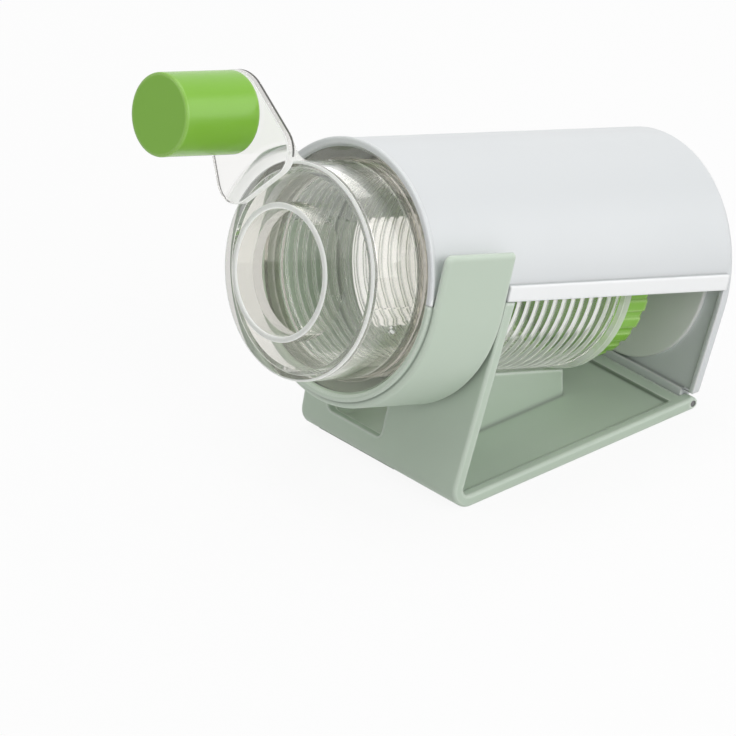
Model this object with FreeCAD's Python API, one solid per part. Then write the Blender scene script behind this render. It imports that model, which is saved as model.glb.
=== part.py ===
import FreeCAD, Part
import math
import os

from FreeCAD import Placement, Rotation, Vector

# Hand-cranked drum spiralizer, in millimetres.
#
# Row frame: +X to the right of the person at the crank, +Y to the rear, +Z up. The origin is the
# middle of the flat underside that the stand rests on.
# Barrel frame: the same X, with Y along the barrel's axis to the rear and Z across it. Its origin is
# where the axis passes the mouth of the housing. The barrel is tilted, crank end up.
# Arm frame: the barrel frame turned about the axis, so that X runs along the crank arm.
# Stations are distances along the barrel's axis, behind the mouth.

# ---- driving dimensions: the barrel and its tilt
tilt = 17.5                    # of the barrel's axis, degrees
axis_height = 91.0             # axis above the table, at the mouth
barrel_length = 156.0          # mouth to the back of the rear wall
cover_radius = 49.3            # outside of the arched cover
cover_wall = 2.3
split_height = 3.6             # the cover ends this far above the axis
seat_gap = 0.3                 # between the closed cover and the stand
side_gap = 0.3                 # beside and around moving pieces
running_clearance = 0.05       # radial, on pins and shafts
press_gap = 0.01               # radial, between pieces pressed or clipped together

# ---- stand
stand_width = 90.4
strip = 4.8                    # thickness of the leg and the tray
strip_edge = 1.0               # rounding of their long edges
bend_radius = 8.0              # outside of the bend between leg and tray
leg_station = 36.7             # front face of the leg
leg_top_half = 50.0            # half of the leg's width under the cover's flanges
collar_wall = 2.1
collar_front = 0.8             # front face of the collar, ahead of the mouth
collar_edge = 1.8
collar_rear_edge = 0.9
ear_height = 24.0              # top of the collar's two ears, above the axis
ear_rear = 34.0                # rear edge of the collar and its ears
ear_corner = 3.0
recess_margin = 4.6
recess_depth = 1.4
recess_rear_margin = 8.2       # from the hinge's axis
pocket_left = -36.4
pocket_right = 7.5
pocket_wall = 2.4
pocket_length = 83.5           # behind the leg's foot
pocket_clearance = 1.0         # between the pocket's walls and the drum's rim
pocket_floor = 1.5             # above the tray's recess
pocket_mouth_left = 2.6        # from the pocket's left wall to its mouth
pocket_mouth_right = 4.6       # from its right wall
pocket_mouth_sill = 14.0       # up the leg, from its foot
pocket_mouth_gap = 1.7         # between the pocket's mouth and the collar
pocket_mouth_corner = 3.0

# ---- hinge along the rear edge
hinge_rod_radius = 1.3
hinge_rod_inset = 0.3
knuckle_width = 5.2            # of each outer knuckle

# ---- cover
lip_proud = 0.6                # bead round the mouth
lip_length = 2.5
lip_edge = 0.8
flange_height = 6.5
flange_proud = 0.7
flange_edge = 0.8
rear_wall = 4.8
rear_edge_radius = 2.6
wall_recess = 1.5
wall_rim = 2.2
wall_foot_gap = 2.4            # between the wall's corners and the tray
wall_recess_foot = 2.6         # of the wall's recess above the tray
nut_width = 4.0                # of the cover's half of the nut
nut_clearance = 0.4            # round the drum's thread

# ---- vegetable holder on the rear wall
plate_radius = 39.5
hub_radius = 16.0
hub_height = 2.0
prong_radius = 1.2
prong_tip = 0.2
prong_length = 8.0
prong_root = 2.0
prong_circle = 11.0
prong_count = 6
holder_screw_radius = 2.0
holder_screw_head = 3.8
holder_screw_head_height = 2.2
holder_screw_bite = 2.6

# ---- drum
drum_radius = 41.0             # over the thread
drum_wall = 4.0                # from the thread's crest to the bore
drum_rear = 110.5
rim_length = 3.4
rim_proud = 1.0
guide_radius = 46.2
guide_width = 3.0              # of the ring, which sits at the mouth
guide_stop = 1.3               # height and width of the rib behind the guide ring

# ---- crank
disc_front = -24.7
disc_thickness = 3.6
disc_edge = 0.8
sleeve_wall = 2.2
sleeve_proud = 0.2             # sleeve outside, above the drum's thread
mouth_radius = 26.2
mouth_wall = 2.3
mouth_length = 9.7             # ahead of the disc
arm_angle = 136.7              # from +X towards +Z, seen from the front
arm_reach = 66.8
arm_end_radius = 16.1
arm_root_half = 21.5
arm_root_reach = 35.0          # of the arm's root end, from the axis
arm_corner = 10.0
arm_edge = 0.6                 # rounding of the arm's front edges
arm_thickness = 3.6
arm_fillet = 8.0               # between the arm's back and the sleeve
lug_radius = 1.6
lug_station = -9.0
lug_angle = 107.0
lug_count = 3

# ---- knob
knob_radius = 15.9
knob_length = 36.6
knob_wall = 2.6
knob_edge = 0.9
insert_flange = 3.0
insert_sleeve_wall = 2.2
pin_radius = 4.0
pin_head_radius = 5.9
pin_head = 2.4
pin_end_gap = 2.0
washer_radius = 6.0
washer_thickness = 0.8
pin_screw_radius = 2.0
pin_screw_head = 3.9
pin_screw_head_height = 2.4
pin_screw_bite = 10.0

# ---- cutter
cutter_radius = 38.4           # over the grip teeth
cutter_length = 13.0
cutter_wall = 3.6
tooth_count = 30
tooth_depth = 0.9
cutter_plate = 3.0
cutter_plate_inset = 6.0       # from the drum's end to the plate
spigot_length = 4.0
spigot_wall = 2.0
core_radius = 9.0
core_wall = 0.5
core_proud = 3.0
slot_gap = 2.0                 # between the core cutter and the slot
slot_width = 6.0
blade_width = 9.0
blade_thickness = 0.8
blade_bevel = 2.2
blade_overhang = 3.0           # of the edge over the slot
blade_end = 2.6                # beyond each end of the slot
blade_margin = 0.8             # between the blade and the ring's wall
blade_land = 2.4               # the blade's seat, above the plate
blade_screw_radius = 1.0
blade_screw_head = 1.8
blade_screw_head_height = 0.6
blade_screw_inset = 5.0        # from each end of the blade
blade_screw_bite = 3.2
knife_count = 2
knife_height = 2.8
knife_width = 5.0
knife_thickness = 0.5
knife_root = 1.2

# ---- non-slip pads
pad_radius = 5.0
pad_depth = 1.6
pad_inset = 10.0               # of their centres, from the stand's sides
pad_edge_gap = 2.0

# ---- worked out from the above
sin_tilt = math.sin(math.radians(tilt))
cos_tilt = math.cos(math.radians(tilt))
tan_tilt = math.tan(math.radians(tilt))
foot_offset = leg_station / cos_tilt - axis_height * tan_tilt
knuckle_radius = strip / 2
wall_middle = barrel_length - rear_wall / 2
hinge_offset = wall_middle / cos_tilt - (axis_height - knuckle_radius) * tan_tilt
tray_length = hinge_offset + knuckle_radius - foot_offset
mouth_y = -tray_length / 2 - foot_offset
hinge_y = mouth_y + hinge_offset
half_width = stand_width / 2
leg_back = leg_station + strip
leg_foot = (leg_station * sin_tilt - axis_height) / cos_tilt
bend_run = bend_radius / math.tan(math.radians(90 - tilt) / 2)
cover_bore = cover_radius - cover_wall
lip_radius = cover_radius + lip_proud
collar_bore = lip_radius + seat_gap
collar_radius = collar_bore + collar_wall
stand_top = split_height - seat_gap
nut_radius = drum_radius + nut_clearance
drum_bore = drum_radius - drum_wall
sleeve_radius = drum_radius + sleeve_proud
sleeve_bore = sleeve_radius - sleeve_wall
sleeve_rear = -guide_width / 2 - side_gap
disc_rear = disc_front + disc_thickness
drum_front = disc_rear
arm_front = disc_front - arm_thickness
knob_rear = arm_front - side_gap
knob_front = knob_rear - knob_length
rim_radius = drum_radius + rim_proud
wall_face = barrel_length - rear_wall
hub_face = wall_face - hub_height
plate_face = drum_rear + cutter_plate_inset + cutter_plate
slot_trailing = slot_width / 6
blade_edge = slot_trailing - blade_overhang
blade_back = blade_edge + blade_width
blade_seat = plate_face + blade_land
cutter_bore = cutter_radius - cutter_wall
slot_start = core_radius + slot_gap
slot_end = math.sqrt(cutter_bore ** 2 - blade_back ** 2) - blade_margin - blade_end
wall_foot = (wall_middle * sin_tilt - axis_height) / cos_tilt
wall_lean = math.acos(cover_radius / math.hypot(half_width, wall_foot)) + math.atan2(wall_foot, half_width)
wall_recess_line = (wall_face * sin_tilt - axis_height + strip + wall_recess_foot) / cos_tilt
knuckle_half = half_width - knuckle_width - side_gap


def barrel(shape):
    """Moves a shape from the barrel frame to the row frame."""
    placed = shape.copy()
    rotation = Rotation(Vector(1, 0, 0), -tilt)
    placed.Placement = Placement(Vector(0, mouth_y, axis_height), rotation).multiply(placed.Placement)
    return placed


def arm_frame(shape):
    """Moves a shape from the arm frame to the barrel frame."""
    placed = shape.copy()
    rotation = Rotation(Vector(0, 1, 0), -arm_angle)
    placed.Placement = Placement(Vector(0, 0, 0), rotation).multiply(placed.Placement)
    return placed


def side_point(station, height):
    """The (y, z) in the row frame of a point on the barrel's middle plane."""
    y = mouth_y + station * cos_tilt + height * sin_tilt
    z = axis_height - station * sin_tilt + height * cos_tilt
    return y, z


def y_on_plane(station, z):
    """Where the plane across the barrel at a station comes to a height above the table."""
    return mouth_y + station / cos_tilt - (axis_height - z) * tan_tilt


def box(x0, x1, y0, y1, z0, z1):
    return Part.makeBox(x1 - x0, y1 - y0, z1 - z0, Vector(x0, y0, z0))


def disc(radius, start, end, x=0, z=0):
    """A cylinder along the barrel's axis, between two stations."""
    return Part.makeCylinder(radius, end - start, Vector(x, start, z), Vector(0, 1, 0))


def ring(inner, outer, start, end):
    return disc(outer, start, end).cut(disc(inner, start - 1, end + 1))


def crosswise(radius, x0, x1, y, z):
    """A cylinder along X."""
    return Part.makeCylinder(radius, x1 - x0, Vector(x0, y, z), Vector(1, 0, 0))


def turned(profile):
    """A solid of revolution about the barrel's axis, from (radius, station) corners."""
    corners = [Vector(radius, station, 0) for radius, station in profile]
    face = Part.Face(Part.makePolygon(corners + corners[:1]))
    return face.revolve(Vector(0, 0, 0), Vector(0, 1, 0), 360)


def slab(side_profile, x0, x1):
    """A prism along X, from (y, z) corners."""
    corners = [Vector(x0, y, z) for y, z in side_profile]
    face = Part.Face(Part.makePolygon(corners + corners[:1]))
    return face.extrude(Vector(x1 - x0, 0, 0))


def plate(outline, start, end):
    """A flat plate across the barrel's axis, from (x, z) corners."""
    corners = [Vector(x, start, z) for x, z in outline]
    face = Part.Face(Part.makePolygon(corners + corners[:1]))
    return face.extrude(Vector(0, end - start, 0))


def edges_along_x(shape, y, z):
    """The edges of a shape that run along X through a (y, z)."""
    found = []
    for edge in shape.Edges:
        ends = [vertex.Point for vertex in edge.Vertexes]
        if len(ends) == 2 and all(abs(p.y - y) + abs(p.z - z) < 0.001 for p in ends):
            found.append(edge)
    return found


def edges_along_station(shape, x, z):
    """The edges of a shape that run along the barrel's axis through an (x, z)."""
    found = []
    for edge in shape.Edges:
        ends = [vertex.Point for vertex in edge.Vertexes]
        if len(ends) == 2 and all(abs(p.x - x) + abs(p.z - z) < 0.001 for p in ends):
            found.append(edge)
    return found


def circles(shape, radius, station):
    """The round edges of a shape with a radius, at a station of the barrel."""
    found = []
    for edge in shape.Edges:
        if not isinstance(edge.Curve, Part.Circle):
            continue
        if abs(edge.Curve.Radius - radius) < 0.001 and abs(edge.Curve.Center.y - station) < 0.001:
            found.append(edge)
    return found


def rounded_front(lip):
    """Rounds both front edges of the bead round the mouth."""
    outer = circles(lip, lip_radius, -lip_length)
    inner = circles(lip, cover_bore, -lip_length)
    return lip.makeFillet(lip_edge, outer + inner)


def save(name, *solids):
    """Writes one node: a single solid, or a group of like ones."""
    shape = solids[0] if len(solids) == 1 else Part.makeCompound(list(solids))
    shape.exportStep("parts/" + name + ".step")


# ---- stand

def leg_widening(side):
    """The wedge that widens one side of the leg from its foot up to the cover's flange."""
    start = leg_foot + bend_run
    outline = [(side * half_width, start), (side * leg_top_half, stand_top), (side * half_width, stand_top)]
    return barrel(plate(outline, leg_station, leg_back))


def long_edges(body):
    """The edges along both sides of the bent strip, short of the leg's top and the tray's rear."""
    found = []
    top = side_point(leg_station, stand_top)[1]
    for edge in body.Edges:
        ends = [vertex.Point for vertex in edge.Vertexes]
        outside = all(abs(p.x) > half_width - 0.001 for p in ends)
        same_side = ends[0].x * ends[-1].x > 0
        across = abs(edge.tangentAt(edge.FirstParameter).x) > 0.3
        at_end = all(p.z > top - 2 * strip for p in ends) or all(p.y > hinge_y - 0.001 for p in ends)
        if outside and same_side and not across and not at_end:
            found.append(edge)
    return found


def leg_and_tray():
    """The bent strip: a leg square to the barrel and a tray flat on the table."""
    foot = (-tray_length / 2, 0)
    inner_corner = (y_on_plane(leg_back, strip), strip)
    side = [side_point(leg_station, stand_top), foot, (hinge_y, 0), (hinge_y, strip), inner_corner,
            side_point(leg_back, stand_top)]
    body = slab(side, -half_width, half_width)
    body = body.makeFillet(bend_radius, edges_along_x(body, *foot))
    body = body.makeFillet(bend_radius - strip, edges_along_x(body, *inner_corner))
    body = body.fuse([leg_widening(-1), leg_widening(1)]).removeSplitter()
    body = body.makeFillet(strip_edge, long_edges(body))
    knuckles = crosswise(knuckle_radius, -half_width, half_width, hinge_y, knuckle_radius)
    ends = [edge for edge in knuckles.Edges if isinstance(edge.Curve, Part.Circle)]
    knuckles = knuckles.makeFillet(strip_edge, ends)
    body = body.fuse(knuckles)
    recess_front = inner_corner[0] + bend_radius - strip
    recess_side = half_width - recess_margin
    body = body.cut(box(-recess_side, recess_side, recess_front, hinge_y - recess_rear_margin,
                        strip - recess_depth, strip + 1))
    notch_front = hinge_y - knuckle_radius - side_gap
    notch = half_width - knuckle_width
    return body.cut(box(-notch, notch, notch_front, hinge_y + knuckle_radius + 1, -1, 2 * strip))


def collar():
    """The cradle round the barrel's mouth, in the barrel frame: a trough below, two upright ears above."""
    trough = disc(collar_radius, -collar_front, ear_rear)
    trough = trough.cut(box(-collar_radius, collar_radius, -collar_front, ear_rear, 0, collar_radius))
    ears = box(-collar_radius, collar_radius, -collar_front, ear_rear, 0, ear_height)
    body = trough.fuse(ears)
    body = body.makeFillet(ear_corner, edges_along_x(body, -collar_front, ear_height)).removeSplitter()
    body = body.makeFillet(collar_edge, circles(body, collar_radius, -collar_front))
    body = body.makeFillet(collar_rear_edge, circles(body, collar_radius, ear_rear))
    neck = disc(cover_radius, ear_rear - collar_wall, leg_station)
    body = body.fuse(neck.cut(box(-cover_radius, cover_radius, 0, leg_back, stand_top, cover_radius)))
    body = body.cut(box(-collar_bore, collar_bore, -lip_length - 1, leg_station, stand_top, ear_height + 1))
    lip = ring(cover_bore, lip_radius, -lip_length, 0)
    lip = lip.cut(box(-collar_radius, collar_radius, -lip_length - 1, 1, stand_top, collar_radius))
    lip = rounded_front(lip)
    return body.fuse(lip).cut(disc(cover_bore, -lip_length - 1, leg_station))


def pocket_block(inset, floor, front_station, roof):
    """The storage pocket's form, or its hollow, up to a roof line along the drum; its back is upright."""
    x0 = pocket_left + inset
    x1 = pocket_right - inset
    back = y_on_plane(leg_back, strip) + pocket_length - inset
    below = -axis_height
    under_roof = slab([side_point(front_station, roof), side_point(barrel_length, roof),
                       (y_on_plane(barrel_length, below), below), (y_on_plane(front_station, below), below)],
                      x0, x1)
    return under_roof.common(box(x0, x1, -tray_length, back, floor, axis_height))


def pocket_mouth():
    """The rounded window through the leg into the pocket, between the leg's foot and the collar."""
    left = pocket_left + pocket_wall + pocket_mouth_left
    right = pocket_right - pocket_wall - pocket_mouth_right
    low = leg_foot + pocket_mouth_sill
    high = -(collar_radius + pocket_mouth_gap)
    window = box(left, right, leg_station - 1, leg_back + 1, low, high)
    corners = []
    for x in (left, right):
        for z in (low, high):
            corners += edges_along_station(window, x, z)
    return barrel(window.makeFillet(pocket_mouth_corner, corners))


def pad_places():
    """Centres of the non-slip pads in the underside."""
    front = -tray_length / 2 + bend_run + pad_edge_gap + pad_radius
    rear = hinge_y - knuckle_radius - side_gap - pad_edge_gap - pad_radius
    across = half_width - pad_inset
    return [(x, y) for x in (-across, across) for y in (front, rear)]


def make_stand():
    body = leg_and_tray().fuse(barrel(collar()))
    tray_floor = strip - recess_depth
    wall_top = -(rim_radius + pocket_clearance)
    body = body.fuse(pocket_block(0, tray_floor - recess_depth / 2, leg_back - strip / 4, wall_top))
    body = body.cut(pocket_block(pocket_wall, tray_floor + pocket_floor, leg_back, -rim_radius))
    body = body.cut(pocket_mouth())
    body = body.cut(barrel(disc(nut_radius, leg_station - 1, leg_back + 1)))
    body = body.cut(crosswise(hinge_rod_radius + press_gap, -half_width - 1, half_width + 1, hinge_y,
                              knuckle_radius))
    for x, y in pad_places():
        body = body.cut(Part.makeCylinder(pad_radius + press_gap, pad_depth + 1, Vector(x, y, -1)))
    return body.removeSplitter()


def make_pads():
    return [Part.makeCylinder(pad_radius, pad_depth - press_gap, Vector(x, y, 0)) for x, y in pad_places()]


def make_hinge_rod():
    reach = half_width - hinge_rod_inset
    return crosswise(hinge_rod_radius, -reach, reach, hinge_y, knuckle_radius)


# ---- cover

def wall_plate(inset, foot, start, end):
    """A slice of the rear wall: an arch whose straight sides narrow to the stand's width at the foot."""
    radius = cover_radius - inset
    side = Vector(radius * math.cos(wall_lean), start, radius * math.sin(wall_lean))
    corner = Vector((radius - foot * math.sin(wall_lean)) / math.cos(wall_lean), start, foot)
    far_side = Vector(-side.x, start, side.z)
    far_corner = Vector(-corner.x, start, foot)
    top = Part.Arc(side, Vector(0, start, radius), far_side).toShape()
    wire = Part.Wire([Part.makeLine(corner, side), top, Part.makeLine(far_side, far_corner),
                      Part.makeLine(far_corner, corner)])
    return Part.Face(wire).extrude(Vector(0, end - start, 0))


def rear_wall_blank():
    """The wall in the barrel frame, with its back edge rounded."""
    low = -axis_height
    wall = wall_plate(0, low, wall_face, barrel_length)
    back_edges = []
    for edge in wall.Edges:
        ends = [vertex.Point for vertex in edge.Vertexes]
        at_back = all(abs(p.y - barrel_length) < 0.001 for p in ends)
        if at_back and any(p.z > low + 0.001 for p in ends):
            back_edges.append(edge)
    wall = wall.makeFillet(rear_edge_radius, back_edges)
    return wall.cut(wall_plate(wall_rim, wall_recess_line, wall_face - 1, wall_face + wall_recess))


def rear_wall_foot(wall):
    """Trims the wall above the tray and gives it the hinge's middle knuckle, in the row frame."""
    far = 2 * cover_radius
    low = strip + wall_foot_gap
    for side in (-1, 1):
        x0, x1 = sorted((side * knuckle_half, side * far))
        wall = wall.cut(box(x0, x1, 0, far + barrel_length, -far, low))
    wall = wall.cut(box(-far, far, 0, far + barrel_length, -far, knuckle_radius))
    wall = wall.fuse(crosswise(knuckle_radius, -knuckle_half, knuckle_half, hinge_y, knuckle_radius))
    return wall.cut(crosswise(hinge_rod_radius + running_clearance, -far, far, hinge_y, knuckle_radius))


def arch():
    """The upper shell with the bead round its mouth and the nut's upper half."""
    lip_rear = -collar_front - side_gap
    shell = ring(cover_bore, cover_radius, lip_rear, wall_face + 0.5)
    lip = ring(cover_bore, lip_radius, -lip_length, lip_rear)
    lip = rounded_front(lip)
    nut_front = leg_station + (strip - nut_width) / 2
    nut = ring(nut_radius, cover_bore + cover_wall / 2, nut_front, nut_front + nut_width)
    shell = shell.fuse(lip).fuse(nut)
    return shell.cut(box(-lip_radius, lip_radius, -lip_length - 1, barrel_length, -lip_radius, split_height))


def flange(side):
    """The thick edge along one side of the arch, behind the collar's ear."""
    inner = math.sqrt(cover_bore ** 2 - split_height ** 2)
    outer = cover_radius + flange_proud
    top = split_height + flange_height
    x0, x1 = sorted((side * inner, side * outer))
    bar = box(x0, x1, leg_station + side_gap, wall_face + 1, split_height, top)
    edges = edges_along_station(bar, side * outer, top)
    edges += edges_along_station(bar, side * outer, split_height)
    return bar.makeFillet(flange_edge, edges)


def make_cover():
    shell = arch()
    for side in (-1, 1):
        shell = shell.fuse(flange(side))
    wall = rear_wall_foot(barrel(rear_wall_blank()))
    body = barrel(shell).fuse(wall)
    head_seat = barrel_length - holder_screw_head_height
    body = body.cut(barrel(disc(holder_screw_radius + side_gap, wall_face, barrel_length)))
    body = body.cut(barrel(disc(holder_screw_head + side_gap, head_seat, barrel_length + 1)))
    return body.removeSplitter()


# ---- vegetable holder

def prong_places():
    """Centres of the prongs, in a ring on the hub."""
    turns = [2 * math.pi * k / prong_count for k in range(prong_count)]
    return [(prong_circle * math.cos(turn), prong_circle * math.sin(turn)) for turn in turns]


def make_holder_plate():
    """Round plate with a hub, trimmed where it would pass the foot of the wall's recess."""
    hub_top = hub_radius - hub_height
    back = wall_face + wall_recess
    body = turned([(0, back), (plate_radius, back), (plate_radius, wall_face), (hub_radius, wall_face),
                   (hub_top, hub_face), (0, hub_face)])
    below = wall_recess_line + side_gap
    body = body.cut(box(-plate_radius, plate_radius, hub_face - 1, back + 1, below - plate_radius, below))
    body = body.cut(disc(holder_screw_radius + press_gap, back - holder_screw_bite, back + 1))
    for x, z in prong_places():
        body = body.cut(disc(prong_radius + press_gap, hub_face - 1, hub_face + prong_root, x, z))
    return barrel(body)


def make_prongs():
    """Steel spikes, pressed into the hub."""
    root = hub_face + prong_root - press_gap
    tip = hub_face - prong_length
    spike = turned([(0, root), (prong_radius, root), (prong_radius, hub_face - prong_length / 3),
                    (prong_tip, tip), (0, tip)])
    spikes = []
    for x, z in prong_places():
        one = spike.copy()
        one.translate(Vector(x, 0, z))
        spikes.append(barrel(one))
    return spikes


def make_holder_screw():
    head_seat = barrel_length - holder_screw_head_height
    tip = wall_face + wall_recess - holder_screw_bite + press_gap
    return barrel(disc(holder_screw_head, head_seat, barrel_length - side_gap)
                  .fuse(disc(holder_screw_radius, tip, head_seat)).removeSplitter())


# ---- drum

def make_drum():
    """Clear tube: a spigot for the crank in front, the thread's length behind it and a rim at the rear."""
    spigot = sleeve_bore - press_gap
    stop = guide_width / 2 + side_gap
    rim = drum_rear - rim_length
    front = drum_front + side_gap
    body = turned([(drum_bore, front), (spigot, front), (spigot, sleeve_rear),
                   (drum_radius, sleeve_rear), (drum_radius, stop), (drum_radius + guide_stop, stop),
                   (drum_radius + guide_stop, stop + guide_stop), (drum_radius, stop + guide_stop),
                   (drum_radius, rim), (rim_radius, rim), (rim_radius, drum_rear), (drum_bore, drum_rear)])
    for lug in lugs(lug_radius, spigot - 1, sleeve_radius):
        body = body.fuse(lug)
    return barrel(body.removeSplitter())


def lugs(radius, start, end):
    """Round studs in a ring, which hold the crank's sleeve on the drum's spigot."""
    studs = []
    for k in range(lug_count):
        stud = Part.makeCylinder(radius, end - start, Vector(start, lug_station, 0), Vector(1, 0, 0))
        stud.rotate(Vector(0, 0, 0), Vector(0, 1, 0), -lug_angle - 360 * k / lug_count)
        studs.append(stud)
    return studs


def make_guide_ring():
    return barrel(ring(drum_radius + running_clearance, guide_radius, -guide_width / 2, guide_width / 2))


# ---- crank

def arm_plate(start, end):
    """The arm's outline between two stations, in the arm frame: round at the knob, wider at the root."""
    corner_x = arm_root_reach + arm_corner
    corner_z = arm_root_half - arm_corner
    run = arm_reach - corner_x
    lean = math.atan2(-corner_z, run) + math.acos((arm_corner - arm_end_radius) / math.hypot(run, corner_z))

    def at(x, z, radius, angle):
        return Vector(x + radius * math.cos(angle), start, z + radius * math.sin(angle))

    def mirrored(point):
        return Vector(point.x, start, -point.z)

    end_side = at(arm_reach, 0, arm_end_radius, lean)
    root_side = at(corner_x, corner_z, arm_corner, lean)
    root_middle = at(corner_x, corner_z, arm_corner, (lean + math.pi) / 2)
    root_end = at(corner_x, corner_z, arm_corner, math.pi)
    wire = Part.Wire([
        Part.Arc(end_side, at(arm_reach, 0, arm_end_radius, 0), mirrored(end_side)).toShape(),
        Part.makeLine(mirrored(end_side), mirrored(root_side)),
        Part.Arc(mirrored(root_side), mirrored(root_middle), mirrored(root_end)).toShape(),
        Part.makeLine(mirrored(root_end), root_end),
        Part.Arc(root_end, root_middle, root_side).toShape(),
        Part.makeLine(root_side, end_side),
    ])
    return Part.Face(wire).extrude(Vector(0, end - start, 0))


def arm_web():
    """The curved web that joins the arm's back to the sleeve, in the arm frame."""
    inner = (sleeve_radius + sleeve_bore) / 2
    top = Vector(sleeve_radius + arm_fillet, disc_front, 0)
    tail = Vector(sleeve_radius, disc_front + arm_fillet, 0)
    hollow = arm_fillet * (1 - math.sqrt(0.5))
    middle = Vector(sleeve_radius + hollow, disc_front + hollow, 0)
    inner_front = Vector(inner, disc_front, 0)
    inner_rear = Vector(inner, disc_front + arm_fillet, 0)
    wire = Part.Wire([Part.makeLine(inner_front, top), Part.Arc(top, middle, tail).toShape(),
                      Part.makeLine(tail, inner_rear), Part.makeLine(inner_rear, inner_front)])
    ring_web = Part.Face(wire).revolve(Vector(0, 0, 0), Vector(0, 1, 0), 360)
    return ring_web.common(arm_plate(disc_front, disc_front + arm_fillet))


def make_crank():
    """Clear moulding: sleeve, disc, exit mouth and arm in one piece."""
    mouth_bore = mouth_radius - mouth_wall
    body = turned([(mouth_bore, disc_front - mouth_length), (mouth_radius, disc_front - mouth_length),
                   (mouth_radius, disc_front), (sleeve_radius, disc_front), (sleeve_radius, sleeve_rear),
                   (sleeve_bore, sleeve_rear), (sleeve_bore, disc_rear), (mouth_bore, disc_rear)])
    body = body.makeFillet(disc_edge, circles(body, sleeve_radius, disc_front)
                           + circles(body, mouth_radius, disc_front - mouth_length)
                           + circles(body, mouth_bore, disc_front - mouth_length))
    arm = arm_plate(arm_front, disc_front)
    outline = [edge for edge in arm.Edges if all(abs(v.Y - arm_front) < 0.001 for v in edge.Vertexes)]
    arm = arm.makeFillet(arm_edge, outline)
    body = body.fuse(arm_frame(arm)).fuse(arm_frame(arm_web()))
    body = body.cut(arm_frame(disc(pin_screw_radius + side_gap, arm_front - 1, disc_rear + 1, arm_reach)))
    for hole in lugs(lug_radius + press_gap, sleeve_bore - 1, sleeve_radius + 1):
        body = body.cut(hole)
    return barrel(body.removeSplitter())


def make_crank_pin():
    """Steel pin with a head that keeps the knob on."""
    head_front = knob_front + knob_wall + pin_end_gap
    body = disc(pin_radius, head_front, arm_front, arm_reach)
    body = body.fuse(disc(pin_head_radius, head_front, head_front + pin_head, arm_reach))
    body = body.cut(disc(pin_screw_radius + press_gap, arm_front - pin_screw_bite, arm_front + 1, arm_reach))
    return barrel(arm_frame(body.removeSplitter()))


def make_pin_washer():
    body = disc(washer_radius, disc_front, disc_front + washer_thickness, arm_reach)
    body = body.cut(disc(pin_screw_radius + side_gap, disc_front - 1, disc_rear, arm_reach))
    return barrel(arm_frame(body))


def make_pin_screw():
    seat = disc_front + washer_thickness
    body = disc(pin_screw_head, seat, seat + pin_screw_head_height, arm_reach)
    body = body.fuse(disc(pin_screw_radius, arm_front - pin_screw_bite + press_gap, seat, arm_reach))
    return barrel(arm_frame(body.removeSplitter()))


# ---- knob

def make_knob_grip():
    body = disc(knob_radius, knob_front, knob_rear, arm_reach)
    rims = circles(body, knob_radius, knob_front) + circles(body, knob_radius, knob_rear)
    body = body.makeFillet(knob_edge, rims)
    body = body.cut(disc(knob_radius - knob_wall, knob_front + knob_wall, knob_rear + 1, arm_reach))
    return barrel(arm_frame(body))


def make_knob_insert():
    """Bush that the knob turns on: a flange that closes its rear end and a sleeve round the pin."""
    sleeve_front = knob_front + knob_wall + pin_end_gap + pin_head + side_gap
    bore = pin_radius + running_clearance
    body = disc(knob_radius - knob_wall - press_gap, knob_rear - insert_flange, knob_rear, arm_reach)
    body = body.fuse(disc(bore + insert_sleeve_wall, sleeve_front, knob_rear, arm_reach))
    body = body.cut(disc(bore, sleeve_front - 1, knob_rear + 1, arm_reach))
    return barrel(arm_frame(body.removeSplitter()))


# ---- cutter

def tooth_ring():
    """The ring's outside: low teeth with a steep and a long flank, to grip with wet fingers."""
    step = 2 * math.pi / tooth_count
    corners = []
    for k in range(tooth_count):
        for share, radius in ((0, cutter_radius), (0.55, cutter_radius - tooth_depth / 4),
                              (0.62, cutter_radius - tooth_depth), (0.93, cutter_radius - tooth_depth)):
            angle = (k + share) * step
            corners.append((radius * math.cos(angle), radius * math.sin(angle)))
    return plate(corners, drum_rear + press_gap, drum_rear + cutter_length)


def make_cutter_ring():
    """Green insert that clips into the drum's rear end and carries the blade."""
    plate_back = plate_face - cutter_plate
    spigot = drum_bore - press_gap
    body = tooth_ring().cut(disc(cutter_bore, drum_rear, drum_rear + cutter_length + 1))
    body = body.fuse(ring(spigot - spigot_wall, spigot, drum_rear - spigot_length, plate_back + 1))
    body = body.fuse(ring(core_radius + press_gap, cutter_bore + 1, plate_back, plate_face))
    slot_low = slot_trailing - slot_width
    body = body.fuse(box(slot_start - blade_end, slot_end + blade_end, plate_face - 1, blade_seat,
                         slot_trailing, blade_back))
    body = body.cut(disc(core_radius + press_gap, plate_back - 1, blade_seat + 1))
    body = body.cut(box(slot_start, slot_end, plate_back - 1, plate_face + 1, slot_low, slot_trailing))
    screw_end = blade_seat - blade_screw_bite
    for x, z in blade_screw_places():
        body = body.cut(disc(blade_screw_radius + press_gap, screw_end, blade_seat + 1, x, z))
    for x in knife_places():
        body = body.cut(knife(x, press_gap))
    return barrel(body.removeSplitter())


def blade_screw_places():
    """Centres of the two screws through the blade's back half."""
    start = slot_start - blade_end
    end = slot_end + blade_end
    z = (slot_trailing + blade_back) / 2
    return [(start + blade_screw_inset, z), (end - blade_screw_inset, z)]


def knife_places():
    """Where the upright knives divide the slice, from the axis."""
    return [slot_start + (slot_end - slot_start) * (k + 1) / (knife_count + 1) for k in range(knife_count)]


def knife(x, gap):
    """One upright knife ahead of the slot, or its socket where the gap is more than nothing."""
    front = slot_trailing - slot_width - blade_end / 2
    half = knife_thickness / 2 + gap
    root = plate_face - knife_root - gap
    tip = plate_face + knife_height
    corners = [(root, front + gap), (tip, front + gap), (tip, front - knife_width / 3),
               (plate_face, front - knife_width - gap), (root, front - knife_width - gap)]
    return slab(corners, x - half, x + half)


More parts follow.
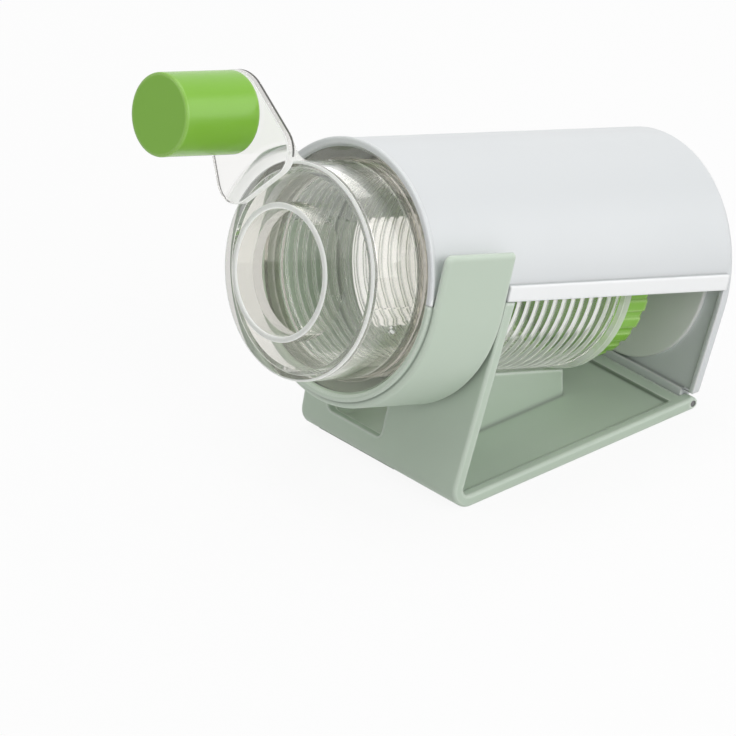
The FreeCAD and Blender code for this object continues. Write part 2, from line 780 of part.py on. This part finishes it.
def make_slicing_blade():
    """Bevelled steel strip, its edge towards the way the drum turns."""
    top = blade_seat + blade_thickness
    section = [(blade_seat, blade_back), (blade_seat, blade_edge + blade_bevel / 4),
               (top - blade_thickness / 4, blade_edge), (top, blade_edge + blade_bevel), (top, blade_back)]
    body = slab(section, slot_start - blade_end, slot_end + blade_end)
    body = body.cut(disc(core_radius + side_gap, blade_seat - 1, top + 1))
    for x, z in blade_screw_places():
        body = body.cut(disc(blade_screw_radius + press_gap, blade_seat - 1, top + 1, x, z))
    return barrel(body)


def make_blade_screws():
    seat = blade_seat + blade_thickness
    screws = []
    for x, z in blade_screw_places():
        body = disc(blade_screw_head, seat, seat + blade_screw_head_height, x, z)
        body = body.fuse(disc(blade_screw_radius, blade_seat - blade_screw_bite + press_gap, seat, x, z))
        screws.append(barrel(body.removeSplitter()))
    return screws


def make_scoring_knives():
    return [barrel(knife(x, 0)) for x in knife_places()]


def make_core_cutter():
    """Thin steel tube that leaves the core of the vegetable whole."""
    plate_back = plate_face - cutter_plate
    return barrel(ring(core_radius - core_wall, core_radius, plate_back, plate_face + core_proud))


os.makedirs("parts", exist_ok=True)
save("stand", make_stand())
save("non_slip_pads", *make_pads())
save("hinge_rod", make_hinge_rod())
save("cover", make_cover())
save("holder_plate", make_holder_plate())
save("holder_prongs", *make_prongs())
save("holder_screw", make_holder_screw())
save("guide_ring", make_guide_ring())
save("drum", make_drum())
save("crank", make_crank())
save("crank_pin", make_crank_pin())
save("pin_washer", make_pin_washer())
save("pin_screw", make_pin_screw())
save("knob_grip", make_knob_grip())
save("knob_insert", make_knob_insert())
save("cutter_ring", make_cutter_ring())
save("slicing_blade", make_slicing_blade())
save("blade_screws", *make_blade_screws())
save("scoring_knives", *make_scoring_knives())
save("core_cutter", make_core_cutter())
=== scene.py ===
import math

import bmesh
import bpy
from mathutils import Matrix, Vector


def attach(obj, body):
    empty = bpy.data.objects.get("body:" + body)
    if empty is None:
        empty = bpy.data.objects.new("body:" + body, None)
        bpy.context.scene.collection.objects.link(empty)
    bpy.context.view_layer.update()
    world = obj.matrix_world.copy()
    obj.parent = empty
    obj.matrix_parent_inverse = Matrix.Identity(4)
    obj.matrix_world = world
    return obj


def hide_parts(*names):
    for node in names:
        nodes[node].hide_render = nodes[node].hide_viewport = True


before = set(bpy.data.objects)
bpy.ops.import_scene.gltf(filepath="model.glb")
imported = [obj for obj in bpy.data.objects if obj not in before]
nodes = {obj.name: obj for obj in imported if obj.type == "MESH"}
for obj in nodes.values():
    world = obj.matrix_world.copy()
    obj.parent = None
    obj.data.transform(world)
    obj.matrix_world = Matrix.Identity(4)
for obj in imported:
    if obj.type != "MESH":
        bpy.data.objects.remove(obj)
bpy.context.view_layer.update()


# ---- camera
# A long lens from the front right, well above the worktop, so that the barrel is seen
# almost without perspective.
camera_turn = math.radians(50.562)
camera_height = math.radians(28.648)
camera_roll = math.radians(-1.388)
camera_distance = 3.510
lens_pixels = 9308.3
picture_pixels = 736
aim_right_pixels = 52.36       # how far right of the picture's middle the aimed point stands
aim_above_pixels = 102.48
aim_station = 0.038            # of the aimed point, behind the barrel's mouth
sensor_mm = 36.0
far_clip = 50.0
barrel_tilt = math.radians(17.5)
barrel_axis = Vector((0, math.cos(barrel_tilt), -math.sin(barrel_tilt)))
barrel_up = Vector((0, math.sin(barrel_tilt), math.cos(barrel_tilt)))
barrel_mouth = Vector((0, -0.072864, 0.091))

look = Vector((-math.sin(camera_turn) * math.cos(camera_height),
               math.cos(camera_turn) * math.cos(camera_height), -math.sin(camera_height)))
level_right = Vector((math.cos(camera_turn), math.sin(camera_turn), 0))
level_up = level_right.cross(look)
right = level_right * math.cos(camera_roll) + level_up * math.sin(camera_roll)
up = level_up * math.cos(camera_roll) - level_right * math.sin(camera_roll)
metres_per_pixel = camera_distance / lens_pixels
aim = barrel_mouth + barrel_axis * aim_station
aim = aim - right * aim_right_pixels * metres_per_pixel - up * aim_above_pixels * metres_per_pixel
viewpoint = aim - look * camera_distance
camera_data = bpy.data.cameras.new("camera")
camera_data.sensor_width = sensor_mm
camera_data.lens = lens_pixels / picture_pixels * sensor_mm
camera_data.clip_end = far_clip
camera = bpy.data.objects.new("camera", camera_data)
camera.matrix_world = Matrix((
    (right.x, up.x, -look.x, viewpoint.x),
    (right.y, up.y, -look.y, viewpoint.y),
    (right.z, up.z, -look.z, viewpoint.z),
    (0, 0, 0, 1)))
bpy.context.scene.collection.objects.link(camera)
bpy.context.scene.camera = camera
bpy.context.scene.view_settings.view_transform = "Standard"
# enough bounces for light to pass all the clear walls
bpy.context.scene.cycles.max_bounces = 24
bpy.context.scene.cycles.transmission_bounces = 24
bpy.context.scene.cycles.transparent_max_bounces = 32
bpy.context.scene.cycles.diffuse_bounces = 6


# ---- light and worktop
# A white sweep, seen pure white by the eye and in the clear plastic, with a soft sky, four
# large lamps that light the object at a plain level, and a fifth seen only in gloss.
sky_strength = 0.34
bright_white = (1, 1, 1, 1)
floor_size = 12.0
floor_grey = (0.80, 0.80, 0.80, 1)
floor_glow = 0.91              # share of bright white in what the eye sees of the worktop
lamp_aim = Vector((0, 0, 0.07))


def add_node(tree, kind, inputs=None, **settings):
    """Adds a shader node, with its settings and its input values or links."""
    added = tree.nodes.new(kind)
    for name, value in settings.items():
        setattr(added, name, value)
    for name, value in (inputs or {}).items():
        socket = added.inputs[name]
        if isinstance(value, bpy.types.NodeSocket):
            tree.links.new(value, socket)
        else:
            socket.default_value = value
    return added


def maths(tree, operation, *values):
    """What a sum on numbers gives."""
    return add_node(tree, "ShaderNodeMath", dict(enumerate(values)),
                    operation=operation).outputs[0]


def shader_mix(tree, share, first, second):
    """Two finishes in one, the second by a share."""
    return add_node(tree, "ShaderNodeMixShader", {0: share, 1: first, 2: second}).outputs[0]


def seen_directly(tree):
    """1 for rays from the eye, and for those that gloss and clear plastic send on."""
    path = add_node(tree, "ShaderNodeLightPath")
    gloss = maths(tree, "MAXIMUM", path.outputs["Is Camera Ray"], path.outputs["Is Glossy Ray"])
    return maths(tree, "MAXIMUM", gloss, path.outputs["Is Transmission Ray"])


def bare_material(name):
    """A new material with no nodes yet."""
    material = bpy.data.materials.new(name)
    material.use_nodes = True
    material.node_tree.nodes.clear()
    return material


world = bpy.data.worlds.new("soft white")
bpy.context.scene.world = world
world.use_nodes = True
sky = world.node_tree
sky.nodes.clear()
dim_sky = add_node(sky, "ShaderNodeBackground",
                   {"Color": bright_white, "Strength": sky_strength}).outputs[0]
white_sky = add_node(sky, "ShaderNodeBackground",
                     {"Color": bright_white, "Strength": 1.0}).outputs[0]
add_node(sky, "ShaderNodeOutputWorld",
         {"Surface": shader_mix(sky, seen_directly(sky), dim_sky, white_sky)})

half_floor = floor_size / 2
floor_mesh = bpy.data.meshes.new("worktop")
floor_mesh.from_pydata([(-half_floor, -half_floor, 0), (half_floor, -half_floor, 0),
                        (half_floor, half_floor, 0), (-half_floor, half_floor, 0)],
                       [], [(0, 1, 2, 3)])
worktop = bpy.data.objects.new("worktop", floor_mesh)
bpy.context.scene.collection.objects.link(worktop)
worktop_white = bare_material("worktop white")
tree = worktop_white.node_tree
matt = add_node(tree, "ShaderNodeBsdfDiffuse", {"Color": floor_grey}).outputs[0]
bright = add_node(tree, "ShaderNodeEmission",
                  {"Color": bright_white, "Strength": 1.0}).outputs[0]
glow = maths(tree, "MULTIPLY", seen_directly(tree), floor_glow)
add_node(tree, "ShaderNodeOutputMaterial", {"Surface": shader_mix(tree, glow, matt, bright)})
floor_mesh.materials.append(worktop_white)


def lamp(name, place, size, watts):
    """A square soft lamp that faces the middle of the object."""
    data = bpy.data.lights.new(name, "AREA")
    data.size = size
    data.energy = watts
    lamp_object = bpy.data.objects.new(name, data)
    lamp_object.location = place
    lamp_object.rotation_euler = (lamp_aim - Vector(place)).to_track_quat("-Z", "Y").to_euler()
    bpy.context.scene.collection.objects.link(lamp_object)
    return lamp_object


lamp("side lamp", place=(1.5, 0.0, 0.98), size=1.1, watts=14)
lamp("top lamp", place=(-0.1, 0.3, 1.7), size=1.3, watts=11)
lamp("front lamp", place=(-0.6, -1.2, 1.5), size=1.0, watts=5.5)
# behind the object on the left, for its rear wall, without a highlight of its own
rear_lamp = lamp("rear lamp", place=(-0.9, 1.6, 0.55), size=1.2, watts=7)
rear_lamp.visible_glossy = False
# low behind the object on the right, seen only as a soft streak in glossy plastic
streak_lamp = lamp("streak lamp", place=(0.90, 1.17, 0.37), size=1.1, watts=6)
streak_lamp.visible_diffuse = False
streak_lamp.visible_transmission = False


# ---- stand
# The bent leg and tray with the cradle for the drum, one injection moulding in sage green
# plastic with a fine satin texture. Its outer edges are painted paler as a painted highlight,
# and its creases darker as painted shade.
sage = (0.530, 0.622, 0.520)
sage_shade = (0.500, 0.594, 0.490)
# painted highlight: the pale colour laid on the stand's outer edges
sage_edge = (0.84, 0.90, 0.83)
# painted light: the paler colour inside the storage pocket
pocket_painted_light = (0.84, 0.89, 0.82)
pocket_low = Vector((-0.0346, -0.0700, 0.0045))
pocket_high = Vector((0.0057, 0.0252, 0.0300))
leg_back = 0.0405              # station of the leg's rear face, behind the barrel's mouth
satin_grain = 0.00010          # depth of the moulded texture
gloss_cloud = (0.3, 0.7)       # part of the colour's clouds over which the gloss changes
gloss_spread = (-0.04, 0.05)   # and how far the roughness goes to both sides
edge_bend = (0.997, 0.88)      # cosine of an edge's rounding to its face: plain, and the palest painted highlight
crease_reach = 0.0030          # how far the painted shade of a crease reaches onto the faces beside it
edge_openness = (0.80, 0.95)   # share of free air at an outer edge: no painted highlight, and the palest
crease_openness = (0.90, 0.50)     # and at a crease: no painted shade, and the darkest
crease_share = 0.55            # brightness of the painted shade deep in a crease


def object_place(tree):
    """Where a point lies on the piece."""
    return add_node(tree, "ShaderNodeTexCoord").outputs["Object"]


def vector_maths(tree, operation, *values):
    """What a sum on places or directions gives, a number or a direction."""
    added = add_node(tree, "ShaderNodeVectorMath", dict(enumerate(values)), operation=operation)
    return added.outputs["Value" if operation in ("DOT_PRODUCT", "LENGTH") else "Vector"]


def carried(tree, value, start, stop, low=0.0, high=1.0):
    """Carries a number from one range to another, held at both ends."""
    return add_node(tree, "ShaderNodeMapRange", {
        "Value": value, "From Min": start, "From Max": stop,
        "To Min": low, "To Max": high}).outputs[0]


def noise(tree, place, scale, detail):
    """Soft clouds, between 0 and 1."""
    return add_node(tree, "ShaderNodeTexNoise", {
        "Vector": place, "Scale": scale, "Detail": detail}).outputs["Fac"]


def colour_mix(tree, share, first, second):
    """Two colours in one, the second by a share."""
    return add_node(tree, "ShaderNodeMix", {"Factor": share, "A": first, "B": second},
                    data_type="RGBA").outputs["Result"]


def moulded(name, colour, shade, edge, roughness, edge_width=0.0014):
    """Moulded plastic: clouded a little, satin, with a painted highlight at outer edges and
    painted shade in creases.
    """
    material = bare_material(name)
    tree = material.node_tree
    place = object_place(tree)
    cloud = noise(tree, place, scale=18.0, detail=3.0)
    plain = colour_mix(tree, cloud, (*colour, 1), (*shade, 1))
    rounded = add_node(tree, "ShaderNodeBevel", {"Radius": edge_width}, samples=6).outputs[0]
    flat = add_node(tree, "ShaderNodeNewGeometry").outputs["Normal"]
    bend = carried(tree, vector_maths(tree, "DOT_PRODUCT", rounded, flat), *edge_bend)
    openness = add_node(tree, "ShaderNodeAmbientOcclusion", {"Distance": crease_reach},
                        samples=8, only_local=True).outputs["AO"]
    # painted highlight: outer edges take the pale edge colour
    outer_edge = maths(tree, "MULTIPLY", bend, carried(tree, openness, *edge_openness))
    edge_lit_colour = colour_mix(tree, outer_edge, plain, (*edge, 1))
    # painted shade: creases darken towards a share of the plain colour
    crease = carried(tree, openness, *crease_openness)
    shaded = colour_mix(tree, crease, edge_lit_colour, (*[part * crease_share for part in colour], 1))
    speck = noise(tree, place, scale=2600.0, detail=2.0)
    bump = add_node(tree, "ShaderNodeBump", {
        "Height": speck, "Distance": satin_grain, "Strength": 0.25, "Normal": rounded}).outputs[0]
    smoother, rougher = gloss_spread
    gloss = carried(tree, cloud, *gloss_cloud, roughness + smoother, roughness + rougher)
    skin = add_node(tree, "ShaderNodeBsdfPrincipled", {
        "Base Color": shaded, "Roughness": gloss, "Normal": bump, "Specular IOR Level": 0.45})
    add_node(tree, "ShaderNodeOutputMaterial", {"Surface": skin.outputs[0]})
    return material


def recolour(material, share, colour):
    """Lays another colour over a moulding where a share is 1."""
    tree = material.node_tree
    base = tree.nodes["Principled BSDF"].inputs["Base Color"]
    tree.links.new(colour_mix(tree, share, base.links[0].from_socket, (*colour, 1)), base)


def dress(name, material):
    """Gives a carried-over solid its finish."""
    solid = nodes[name]
    solid.data.materials.clear()
    solid.data.materials.append(material)


sage_plastic = moulded("sage plastic", sage, sage_shade, sage_edge,
                       roughness=0.42, edge_width=0.0022)
# inside the storage pocket the moulding is painted paler, as painted light that brightens the
# hollow
tree = sage_plastic.node_tree
place = object_place(tree)
offset = vector_maths(tree, "SUBTRACT", place, (pocket_low + pocket_high) / 2)
pocket_share = vector_maths(tree, "DIVIDE", offset, (pocket_high - pocket_low) / 2)
sides = add_node(tree, "ShaderNodeSeparateXYZ",
                 {0: vector_maths(tree, "ABSOLUTE", pocket_share)})
widest = maths(tree, "MAXIMUM", sides.outputs[0], sides.outputs[1])
within = maths(tree, "LESS_THAN", maths(tree, "MAXIMUM", widest, sides.outputs[2]), 1.0)
behind_leg = maths(tree, "GREATER_THAN", vector_maths(tree, "DOT_PRODUCT", place, barrel_axis),
                   leg_back + barrel_mouth.dot(barrel_axis))
recolour(sage_plastic, maths(tree, "MULTIPLY", within, behind_leg), pocket_painted_light)
dress("stand", sage_plastic)


# ---- non-slip pads
# Four discs of grey rubber, cut from sheet. They are pressed into round sockets in the
# underside of the tray and end flush with it.
# its edge colour is a painted highlight on the pads' outer edges
rubber = moulded("grey rubber", colour=(0.10, 0.11, 0.105), shade=(0.085, 0.09, 0.09),
                 edge=(0.16, 0.17, 0.165), roughness=0.75)
dress("non_slip_pads", rubber)


# ---- hinge rod
# A cut length of drawn steel wire, pushed through the knuckles along the rear edge. It is
# duller than the other steel.
streak_stretch = (40, 900, 900)    # the streaks run along X
streak_depth = 0.00003


def drawn_steel(name, colour, roughness):
    """Steel with fine streaks left by drawing or grinding."""
    material = bare_material(name)
    tree = material.node_tree
    stretched = add_node(tree, "ShaderNodeMapping", {
        "Vector": object_place(tree), "Scale": streak_stretch}).outputs[0]
    streaks = noise(tree, stretched, scale=2.0, detail=3.0)
    gloss = carried(tree, streaks, 0.0, 1.0, roughness * 0.6, roughness * 1.4)
    bump = add_node(tree, "ShaderNodeBump", {
        "Height": streaks, "Distance": streak_depth, "Strength": 0.3}).outputs[0]
    skin = add_node(tree, "ShaderNodeBsdfPrincipled", {
        "Base Color": (*colour, 1), "Metallic": 1.0, "Roughness": gloss, "Normal": bump})
    add_node(tree, "ShaderNodeOutputMaterial", {"Surface": skin.outputs[0]})
    return material


dress("hinge_rod", drawn_steel("dull wire", colour=(0.22, 0.22, 0.22), roughness=0.45))


# ---- cover
# The hinged arch with its rear wall, moulded in a cool white plastic, satin on the outside.
# Its beaded mouth and side flanges stiffen the free edges.
white = (0.692, 0.712, 0.722)
white_shade = (0.672, 0.695, 0.707)
# painted highlight: the pale colour laid on the outer edges of the cover and the bush
white_edge = (0.96, 0.965, 0.97)
white_roughness = 0.38
flange_painted_light = (0.90, 0.91, 0.915)
proud_face = 0.0495            # from the middle plane, short of the flanges' outer faces
cover_plastic = moulded("cool white plastic", white, white_shade, white_edge, white_roughness)
# the outer faces of the flanges and of the rear wall are painted whiter than the arch, as painted
# light on faces turned to the lamps
tree = cover_plastic.node_tree
sides = add_node(tree, "ShaderNodeSeparateXYZ", {0: object_place(tree)})
from_middle = maths(tree, "ABSOLUTE", sides.outputs[0])
recolour(cover_plastic, maths(tree, "GREATER_THAN", from_middle, proud_face), flange_painted_light)
dress("cover", cover_plastic)


# ---- vegetable holder
# A round plate with a low hub on the rear wall's inside, in a paler plastic, screwed from
# behind. Six ground steel spikes are pressed into the hub.
steel = drawn_steel("drawn steel", colour=(0.62, 0.62, 0.61), roughness=0.25)
# its edge colour is a painted highlight on the holder plate's outer edges
holder_plastic = moulded("pale holder plastic", colour=(0.86, 0.88, 0.85),
                         shade=(0.84, 0.86, 0.83), edge=(0.92, 0.93, 0.91), roughness=0.40)
dress("holder_plate", holder_plastic)
dress("holder_prongs", steel)
dress("holder_screw", steel)


# ---- guide ring
# The ring round the drum's front, which centres it in the mouth of the housing. It is moulded
# in clear plastic, tinted grey as painted shade for the dark gap between the drum and the
# collar, and sits between the crank's sleeve and the drum's stop rib.
polish = 0.012                 # roughness of a polished clear face
flow_depth = 0.0002            # of the slow waves in it
rim_slope = 0.63               # how square a rounded rim is to the barrel's axis, in its middle
rim_spread = (0.34, 0.20)      # how far from that the frost begins, and is full
# the white laid on rounded rims as a painted highlight, and over the drum's hazed rear rim
haze_and_highlight_white = (0.99, 0.99, 0.985, 1)
clear_white = (0.99, 0.99, 0.985, 1)
guiding_skew = 0.26            # how far off square a wall is seen where it would guide light
guided_dim = (0.78, 0.77, 0.755, 1)
caught_bounces = 2.5           # more than this, and light counts as caught in the wall


def clear_plastic(name, tint, rim_highlight=0.8, thin=0.0, haze=0.0):
    """Clear polished plastic, waved a little. Its rounded rims are whitened with a diffuse frost
    as a painted highlight.
    """
    material = bare_material(name)
    tree = material.node_tree
    flow = noise(tree, object_place(tree), scale=60.0, detail=2.0)
    bump = add_node(tree, "ShaderNodeBump", {
        "Height": flow, "Distance": flow_depth, "Strength": 0.12}).outputs[0]
    gloss = carried(tree, flow, 0.0, 1.0, polish * 0.5, polish * 1.5)
    body = add_node(tree, "ShaderNodeBsdfPrincipled", {
        "Base Color": (*tint, 1), "IOR": 1.49, "Transmission Weight": 1.0,
        "Roughness": gloss, "Normal": bump}).outputs[0]
    if thin:
        # a thin wall guides no light along itself; it goes straight on there, a little dimmed
        skew = add_node(tree, "ShaderNodeLayerWeight", {"Blend": 0.5}).outputs["Facing"]
        inside = add_node(tree, "ShaderNodeNewGeometry").outputs["Backfacing"]
        guided = maths(tree, "MULTIPLY", maths(tree, "GREATER_THAN", skew, guiding_skew), inside)
        dimmed = add_node(tree, "ShaderNodeBsdfTransparent", {"Color": guided_dim}).outputs[0]
        body = shader_mix(tree, maths(tree, "MULTIPLY", guided, thin), body, dimmed)
    # rims lie between the faces square to the barrel's axis and those along it
    normal = add_node(tree, "ShaderNodeNewGeometry").outputs["Normal"]
    slope = maths(tree, "ABSOLUTE", vector_maths(tree, "DOT_PRODUCT", normal, barrel_axis))
    off_rim = maths(tree, "ABSOLUTE", maths(tree, "SUBTRACT", slope, rim_slope))
    # painted highlight: a white diffuse frost on the rims
    rim = carried(tree, off_rim, *rim_spread, haze, max(rim_highlight, haze))
    pale = add_node(tree, "ShaderNodeBsdfDiffuse", {"Color": haze_and_highlight_white}).outputs[0]
    lit = add_node(tree, "ShaderNodeBsdfTranslucent", {"Color": haze_and_highlight_white}).outputs[0]
    walls = shader_mix(tree, rim, body, shader_mix(tree, 0.5, pale, lit))
    # light that is caught inside a wall leaves it straight, and so does light on its way to
    # other pieces
    path = add_node(tree, "ShaderNodeLightPath")
    caught = maths(tree, "GREATER_THAN", path.outputs["Glossy Depth"], caught_bounces)
    on_its_way = maths(tree, "MAXIMUM", path.outputs["Is Shadow Ray"],
                       path.outputs["Is Diffuse Ray"])
    passing = maths(tree, "MAXIMUM", caught, on_its_way)
    through = add_node(tree, "ShaderNodeBsdfTransparent", {"Color": clear_white}).outputs[0]
    add_node(tree, "ShaderNodeOutputMaterial",
             {"Surface": shader_mix(tree, passing, walls, through)})
    return material


# painted shade: the grey tint stands in for the dark gap between the drum and the collar
dress("guide_ring", clear_plastic("gap-shade grey clear plastic", (0.50, 0.48, 0.44), rim_highlight=0.3))


# ---- threaded drum
# The clear tube that carries the blade. A screw thread runs along its outside, between the
# stop rib behind the guide ring and the thick rim at the rear; inside it is smooth.
# the drum's slight warm cast is a painted reflection of the vegetables' warm colour
drum_tint = (0.980, 0.970, 0.940)
drum_steps = 144
thread_root = 0.0396
thread_crest = 0.0410
thread_pitch = 0.0047
thread_start = 0.0031
thread_end = 0.1071
thread_fade = 0.6              # turns over which the thread rises and runs out
sharp_bend = math.radians(35)  # faces that meet at less than this look rounded
thread_weld = 0.000002
drum_weld = 0.000003
sliver = 0.000001
# each corner of the ridge: share of the pitch, and share of the thread's height
ridge = ((0.00, 0.0), (0.58, 0.0), (0.64, 0.25), (0.69, 0.85),
         (0.73, 1.0), (0.81, 1.0), (0.85, 0.85), (0.90, 0.25))
# radius and station of each corner, from the bore round the front end to the thread
drum_front_profile = ((0.037, -0.0208), (0.0388, -0.0208), (0.03899, -0.0206),
                      (0.03899, -0.0018), (0.0409, -0.0018), (0.0409, 0.0018),
                      (0.0421, 0.0018), (0.0423, 0.0020), (0.0423, 0.0029),
                      (0.0421, 0.0031), (0.0396, 0.0031))
# and from the thread round the rim to the bore
drum_rear_profile = ((0.0396, 0.1071), (0.0417, 0.1071), (0.0420, 0.1074),
                     (0.0420, 0.1102), (0.0417, 0.1105), (0.0370, 0.1105))


def drum_corner(shape, radius, step, station):
    """A corner at a radius and a step round the drum's axis, at a station behind the mouth."""
    turn = 2 * math.pi * step / drum_steps
    across = Vector((math.cos(turn), 0, 0)) + barrel_up * math.sin(turn)
    return shape.verts.new(barrel_mouth + barrel_axis * station + across * radius)


def drum_row(shape, radius, station):
    """One ring of corners round the axis."""
    return [drum_corner(shape, radius, k, station) for k in range(drum_steps)]


def skin_rows(shape, first, second):
    """Faces between two rings."""
    for k in range(drum_steps):
        following = (k + 1) % drum_steps
        shape.faces.new((first[k], second[k], second[following], first[following]))


def thread_height(station):
    """How far the ridge stands up: less at both ends of the thread."""
    rise = (station - thread_start) / (thread_pitch * thread_fade)
    fall = (thread_end - station) / (thread_pitch * thread_fade)
    return max(0.0, min(1.0, rise, fall))


tube = bmesh.new()
front_rows = [drum_row(tube, *corner) for corner in drum_front_profile]
rear_rows = [drum_row(tube, *corner) for corner in drum_rear_profile]
for rows in (front_rows, rear_rows):
    for first, second in zip(rows, rows[1:]):
        skin_rows(tube, first, second)
skin_rows(tube, rear_rows[-1], front_rows[0])

# the thread is one ribbon, wound a turn past both ends, held between them and then joined on
thread = bmesh.new()
turns = (thread_end - thread_start) / thread_pitch
ribbon = []
for row in range(int((turns + 2) * len(ridge))):
    pitch_share, height = ridge[row % len(ridge)]
    whole_turns = row // len(ridge) - 1
    line = []
    for k in range(drum_steps + 1):
        station = thread_start + (whole_turns + pitch_share + k / drum_steps) * thread_pitch
        station = max(thread_start, min(thread_end, station))
        radius = thread_root + (thread_crest - thread_root) * height * thread_height(station)
        line.append(drum_corner(thread, radius, k, station))
    ribbon.append(line)
for first, second in zip(ribbon, ribbon[1:]):
    for k in range(drum_steps):
        thread.faces.new((first[k], second[k], second[k + 1], first[k + 1]))
bmesh.ops.remove_doubles(thread, verts=thread.verts, dist=thread_weld)
bmesh.ops.dissolve_degenerate(thread, dist=sliver, edges=thread.edges)
thread_mesh = bpy.data.meshes.new("thread")
thread.to_mesh(thread_mesh)
thread.free()
tube.from_mesh(thread_mesh)
bpy.data.meshes.remove(thread_mesh)
bmesh.ops.remove_doubles(tube, verts=tube.verts, dist=drum_weld)

# the rim behind the thread takes the second, hazed finish
for face in tube.faces:
    station = (face.calc_center_median() - barrel_mouth).dot(barrel_axis)
    face.material_index = int(station > thread_end)
bmesh.ops.recalc_face_normals(tube, faces=tube.faces)
for face in tube.faces:
    face.smooth = True
for edge in tube.edges:
    edge.smooth = len(edge.link_faces) != 2 or edge.calc_face_angle(0) < sharp_bend
drum_mesh = bpy.data.meshes.new("threaded_drum")
tube.to_mesh(drum_mesh)
tube.free()
drum_mesh.materials.append(clear_plastic("clear plastic", drum_tint, rim_highlight=0.5))
drum_mesh.materials.append(clear_plastic("hazed rim plastic", drum_tint, haze=0.6))
threaded_drum = bpy.data.objects.new("threaded_drum", drum_mesh)
bpy.context.scene.collection.objects.link(threaded_drum)
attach(threaded_drum, "drum")
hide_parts("drum")


# ---- crank
# One clear moulding: the sleeve that clips over the drum, the disc with the exit mouth, and
# the arm. Its knob's pin is steel, screwed from behind through a washer.
disc_front = -0.0247           # stations, counted from the barrel's mouth
mouth_front = disc_front - 0.0097
sleeve_outside = 0.0412
edge_highlight_share = 0.9               # share of painted highlight, a white frost, on the mouth's lip and the sleeve's edge
lip_half = 0.0010              # how far the lip's painted highlight goes to both sides
edge_length = 0.0014           # of the sleeve's edge with the painted highlight, along the barrel
edge_depth = 0.0009            # and into its wall
overlap = 0.0001               # so that a face on the limit is taken in
corner_width = 0.0010          # of the painted dark line along the arm's rear corner
corner_dark = (0.22, 0.22, 0.215, 1)
side_slope = 0.3               # the arm's sides are no squarer than this to the axis
arm_clearance = 0.0016         # the painted dark line keeps this far outside the sleeve
arm_limit = 0.2                # from the axis, well past the arm's end


def band(tree, value, low, high):
    """1 where a value lies between two limits."""
    return maths(tree, "COMPARE", value, (low + high) / 2, (high - low) / 2)


crank_plastic = clear_plastic("clear crank plastic", (0.945, 0.940, 0.925), rim_highlight=0.95, thin=0.85)
tree = crank_plastic.node_tree
offset = vector_maths(tree, "SUBTRACT", object_place(tree), barrel_mouth)
station = vector_maths(tree, "DOT_PRODUCT", offset, barrel_axis)
reach = vector_maths(tree, "LENGTH", vector_maths(tree, "CROSS_PRODUCT", offset, barrel_axis))
surface = tree.nodes["Material Output"].inputs["Surface"].links[0].from_node
walls = surface.inputs[1].links[0].from_node
highlight_socket = walls.inputs[0]
# the lip of the mouth and the front edge of the sleeve carry the white frost right across, as a
# painted highlight
lip = band(tree, station, mouth_front - lip_half, mouth_front + lip_half)
sleeve_end = band(tree, station, disc_front - overlap, disc_front + edge_length)
sleeve_skin = band(tree, reach, sleeve_outside - edge_depth, sleeve_outside + overlap)
edges = maths(tree, "MAXIMUM", lip, maths(tree, "MULTIPLY", sleeve_end, sleeve_skin))
rim_highlight = maths(tree, "MULTIPLY", edges, edge_highlight_share)
tree.links.new(maths(tree, "MAXIMUM", rim_highlight, highlight_socket.links[0].from_socket), highlight_socket)
# a painted dark line along the arm's sharp rear corner, all round its outline, stands in for the
# shade its refraction shows
normal = add_node(tree, "ShaderNodeNewGeometry").outputs["Normal"]
sideways = band(tree, vector_maths(tree, "DOT_PRODUCT", normal, barrel_axis),
                -side_slope, side_slope)
on_arm = band(tree, reach, sleeve_outside + arm_clearance, arm_limit)
at_corner = band(tree, station, disc_front - corner_width, disc_front)
corner_line = maths(tree, "MULTIPLY", maths(tree, "MULTIPLY", sideways, on_arm), at_corner)
dark = add_node(tree, "ShaderNodeBsdfTransparent", {"Color": corner_dark}).outputs[0]
tree.links.new(shader_mix(tree, corner_line, walls.outputs[0], dark), surface.inputs[1])
dress("crank", crank_plastic)
dress("crank_pin", steel)
dress("pin_washer", steel)
dress("pin_screw", steel)


# ---- knob
# A green cup that turns on the pin, moulded in semi-gloss plastic. A white bush, pressed in
# from behind, closes its rear end.
# its edge colour is a painted highlight on the outer edges of the knob and the cutter ring
green_plastic = moulded("green plastic", colour=(0.225, 0.500, 0.042),
                        shade=(0.210, 0.475, 0.038), edge=(0.55, 0.80, 0.30),
                        roughness=0.24, edge_width=0.0020)
bush_plastic = moulded("white bush plastic", white, white_shade, white_edge, white_roughness)
dress("knob_grip", green_plastic)
dress("knob_insert", bush_plastic)


# ---- blade insert
# The green toothed ring that clips into the drum's rear end. It carries a bevelled blade on
# two screws, two scoring knives and the thin core tube, all of steel.
dress("cutter_ring", green_plastic)
for name in ("slicing_blade", "blade_screws", "scoring_knives", "core_cutter"):
    dress(name, steel)
